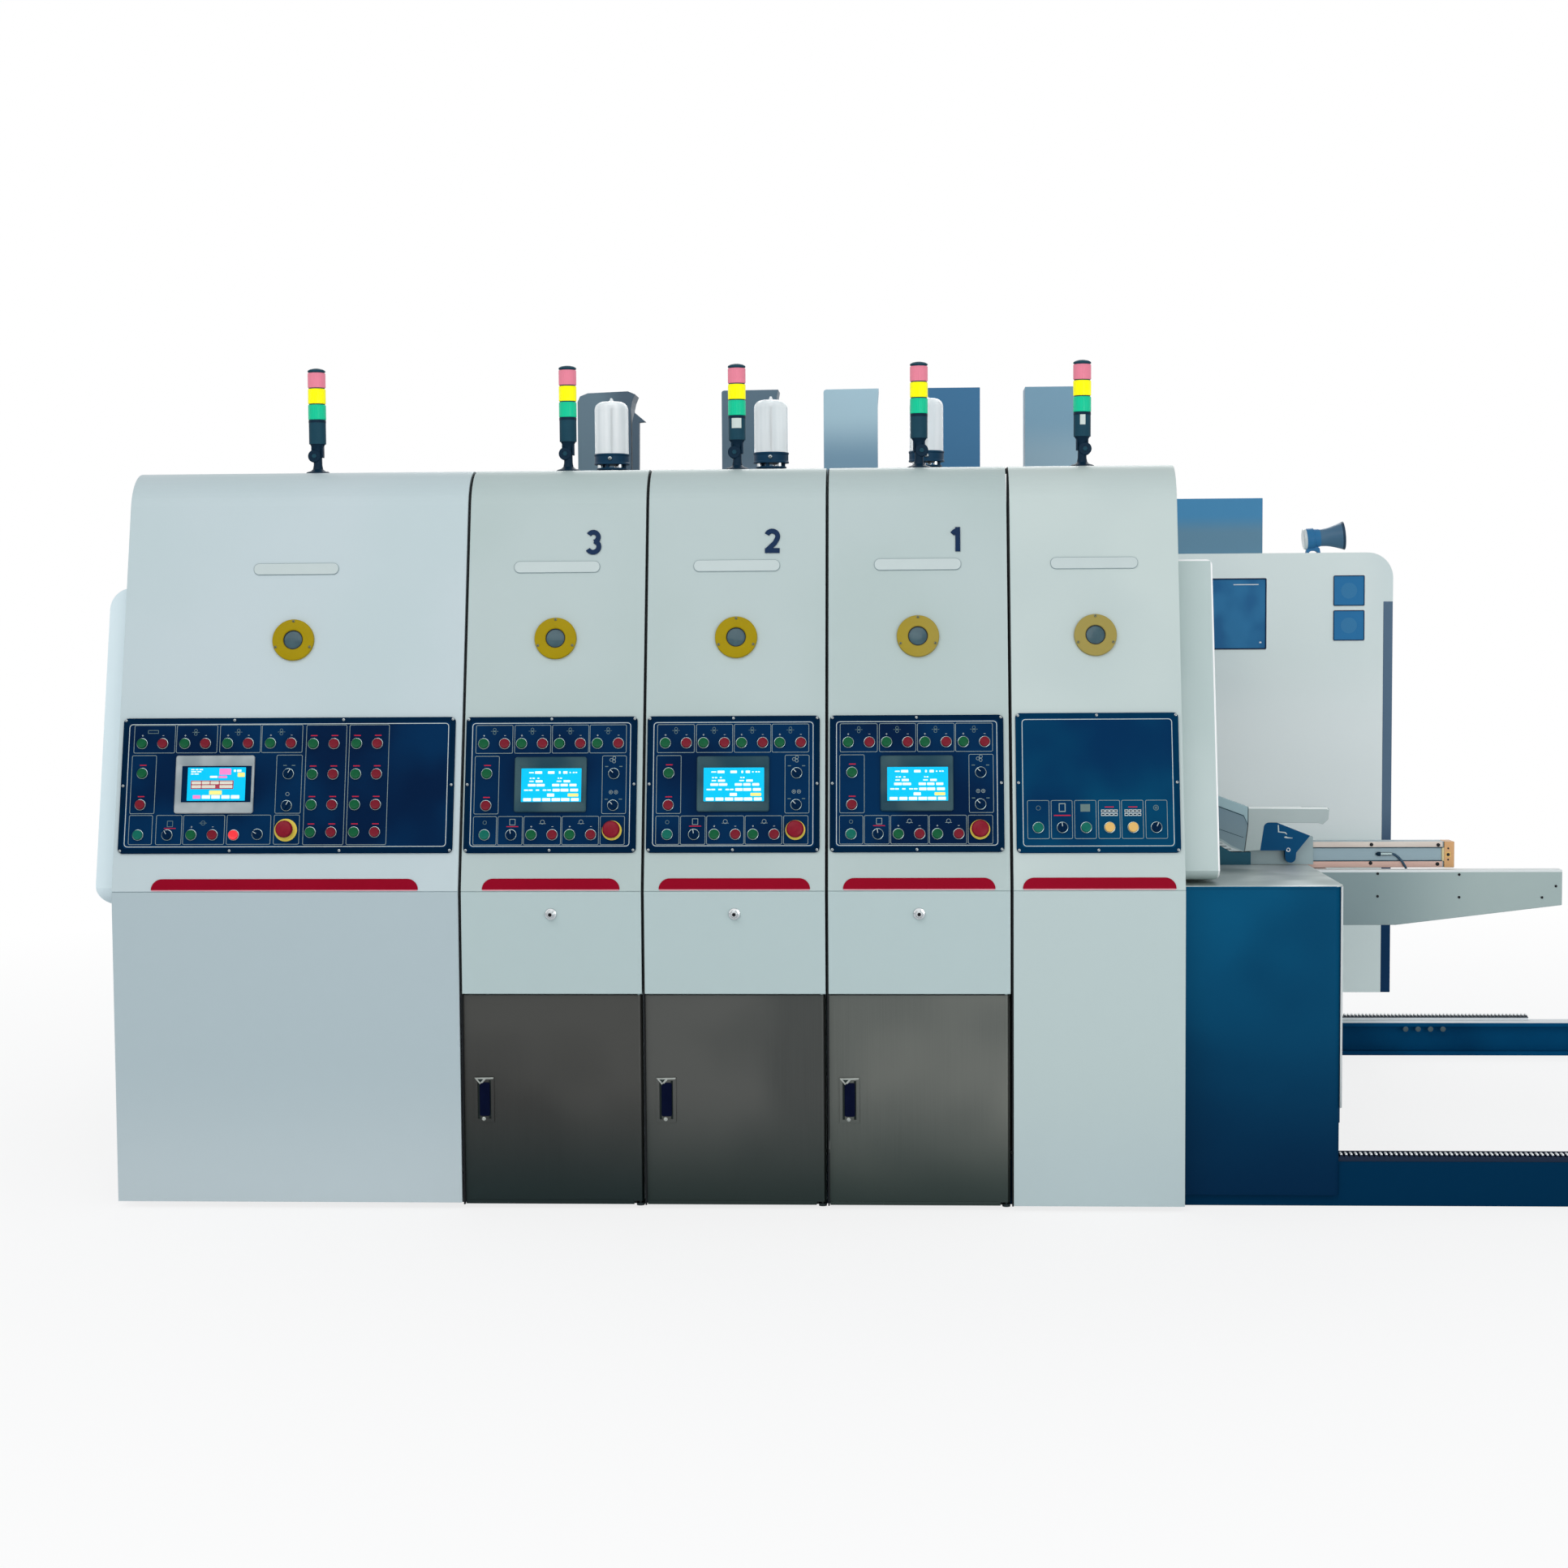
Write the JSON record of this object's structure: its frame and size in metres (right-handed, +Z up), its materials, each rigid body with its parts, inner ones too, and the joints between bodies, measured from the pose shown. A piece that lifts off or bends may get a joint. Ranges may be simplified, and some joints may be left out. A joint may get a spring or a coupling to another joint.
{
  "type": "flexographic printing press",
  "caption": "Row of sheet-fed printing units with a wide die-cutting unit and a feeder, under leaning covers on two toothed floor rails.",
  "frame": {"origin": "centre of the bounding box, on the floor", "axes": "+X along the line from the die-cutting unit to the feeder, +Y from the operator side to the drive side, +Z up"},
  "size_m": [4.835, 2.52, 2.26],
  "materials": {
    "cover_paint": "satin",
    "navy_paint": "satin",
    "cast_paint": "satin",
    "roll_steel": "polished",
    "door_steel": "brushed",
    "panel_navy": "gloss",
    "lamp_plastic": "gloss",
    "fitting_paint": "gloss",
    "dome_glass": "clear",
    "duct_paint": "satin",
    "rack_steel": "machined",
    "table_steel": "brushed",
    "guide_aluminium": "anodised"
  },
  "bodies": {
    "die_cutting_unit": {"floor_rails": "navy_paint", "rail_racks": "rack_steel", "die_frame": "cast_paint", "die_covers": "cover_paint", "die_end_covers": "cover_paint", "die_rolls": "roll_steel", "die_panel": "panel_navy", "die_beacon": "lamp_plastic", "die_fittings": "fitting_paint"},
    "printing_unit_3": {"print3_frame": "cast_paint", "print3_covers": "cover_paint", "print3_rolls": "roll_steel", "print3_panel": "panel_navy", "print3_beacon": "lamp_plastic", "print3_oil_dome": "dome_glass", "print3_duct": "duct_paint", "print3_fittings": "fitting_paint"},
    "door_3": {"print3_door": "door_steel"},
    "printing_unit_2": {"print2_frame": "cast_paint", "print2_covers": "cover_paint", "print2_rolls": "roll_steel", "print2_panel": "panel_navy", "print2_beacon": "lamp_plastic", "print2_oil_dome": "dome_glass", "print2_duct": "duct_paint", "print2_fittings": "fitting_paint"},
    "door_2": {"print2_door": "door_steel"},
    "printing_unit_1": {"print1_frame": "cast_paint", "print1_covers": "cover_paint", "print1_rolls": "roll_steel", "print1_panel": "panel_navy", "print1_beacon": "lamp_plastic", "print1_oil_dome": "dome_glass", "print1_duct": "duct_paint", "print1_fittings": "fitting_paint"},
    "door_1": {"print1_door": "door_steel"},
    "feeding_unit": {"feed_frame": "cast_paint", "feed_cover": "cover_paint", "feed_housing": "cover_paint", "housing_windows": "navy_paint", "feed_end_cover": "cover_paint", "feed_cabinet": "navy_paint", "feed_rolls": "roll_steel", "feed_panel": "panel_navy", "feed_beacon": "lamp_plastic", "feed_duct": "duct_paint", "feed_fittings": "fitting_paint", "feed_table": "table_steel", "side_arms": "cover_paint", "guide_beams": "guide_aluminium", "side_guide": "cover_paint", "loudspeaker": "navy_paint"}
  },
  "joints": [
    {"name": "printing_unit_3_travel", "type": "slide", "parent": "die_cutting_unit", "child": "printing_unit_3", "axis": [1, 0, 0], "range_m": [0, 0.4]},
    {"name": "printing_unit_2_travel", "type": "slide", "parent": "printing_unit_3", "child": "printing_unit_2", "axis": [1, 0, 0], "range_m": [0, 0.4]},
    {"name": "printing_unit_1_travel", "type": "slide", "parent": "printing_unit_2", "child": "printing_unit_1", "axis": [1, 0, 0], "range_m": [0, 0.4]},
    {"name": "feeding_unit_travel", "type": "slide", "parent": "printing_unit_1", "child": "feeding_unit", "axis": [1, 0, 0], "range_m": [0, 0.4]},
    {"name": "door_3_hinge", "type": "hinge", "parent": "printing_unit_3", "child": "door_3", "pos_m": [-1.0135, -1.215, 0], "axis": [0, 0, 1], "range_deg": [0, 90]},
    {"name": "door_2_hinge", "type": "hinge", "parent": "printing_unit_2", "child": "door_2", "pos_m": [-0.5505, -1.215, 0], "axis": [0, 0, 1], "range_deg": [0, 90]},
    {"name": "door_1_hinge", "type": "hinge", "parent": "printing_unit_1", "child": "door_1", "pos_m": [-0.0875, -1.215, 0], "axis": [0, 0, 1], "range_deg": [0, 90]}
  ]
}
